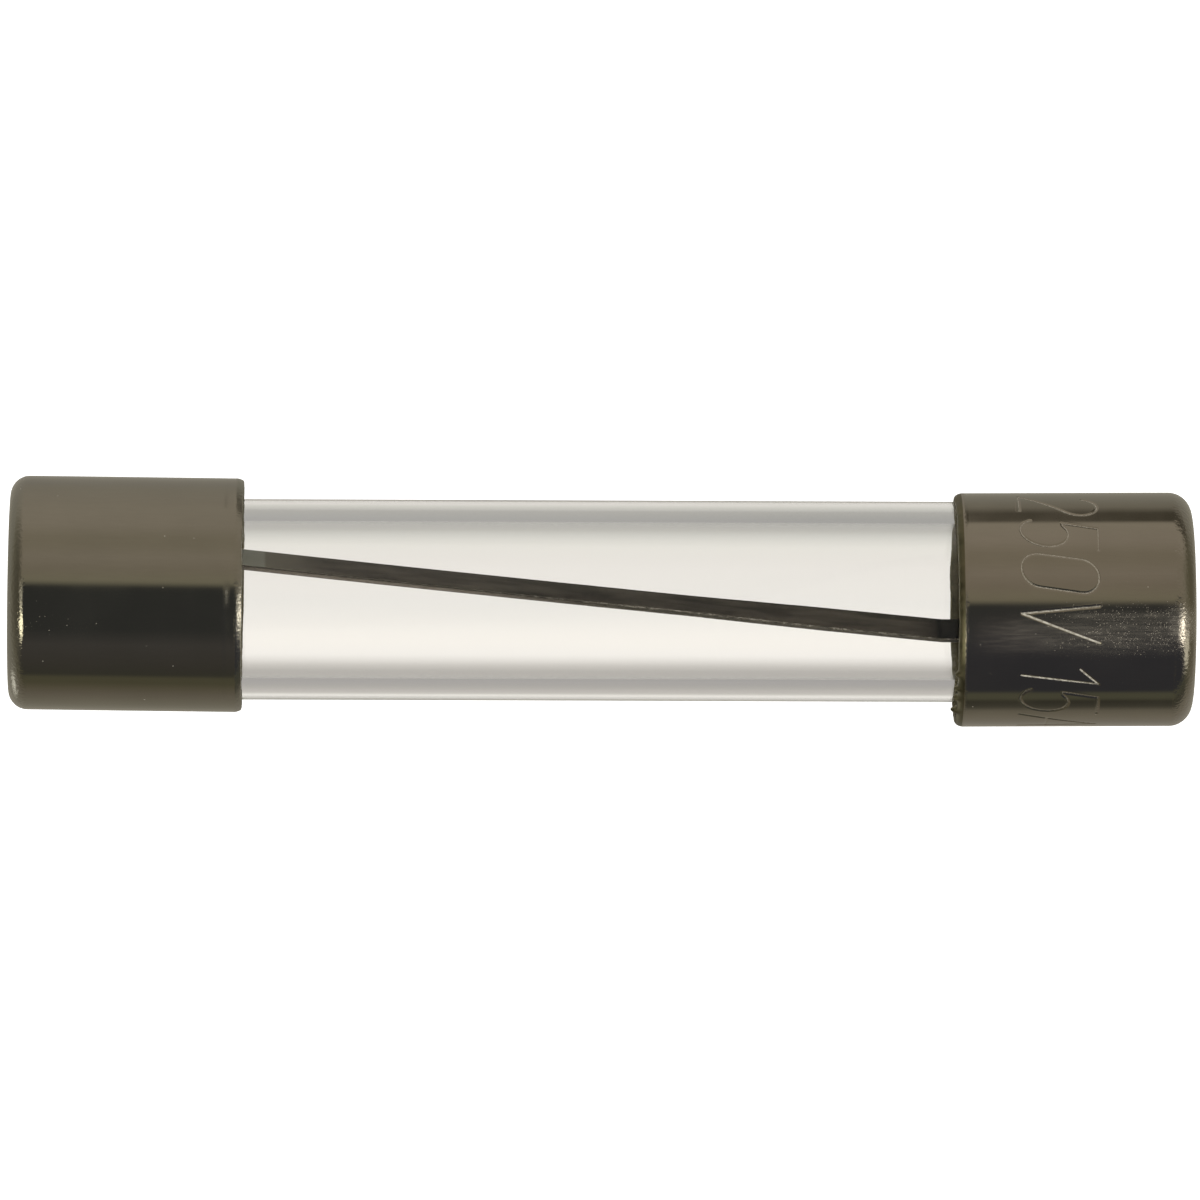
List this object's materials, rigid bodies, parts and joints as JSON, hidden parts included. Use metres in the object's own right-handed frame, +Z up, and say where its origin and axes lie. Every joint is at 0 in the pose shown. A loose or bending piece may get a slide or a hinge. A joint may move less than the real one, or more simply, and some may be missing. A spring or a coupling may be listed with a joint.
{
  "type": "cartridge fuse",
  "caption": "Cylindrical glass cartridge fuse with drawn metal end caps and a flat fuse strip crossing the bore diagonally.",
  "frame": {"origin": "middle of the glass tube's axis, which is the middle of the fuse", "axes": "+X along the fuse towards the right cap, +Z up as the fuse lies on its side, +Y across it"},
  "size_m": [0.0319, 0.0067, 0.0064],
  "materials": {
    "glass": "polished",
    "cap_metal": "gloss",
    "strip_metal": "satin",
    "solder": "satin",
    "cement": "matte"
  },
  "bodies": {
    "root": {"glass_tube": "glass", "end_cap_left": "cap_metal", "end_cap_right": "cap_metal", "fuse_element": "strip_metal", "solder_fill_left": "solder", "solder_fill_right": "solder", "cement_ring_left": "cement", "cement_ring_right": "cement"}
  },
  "joints": []
}
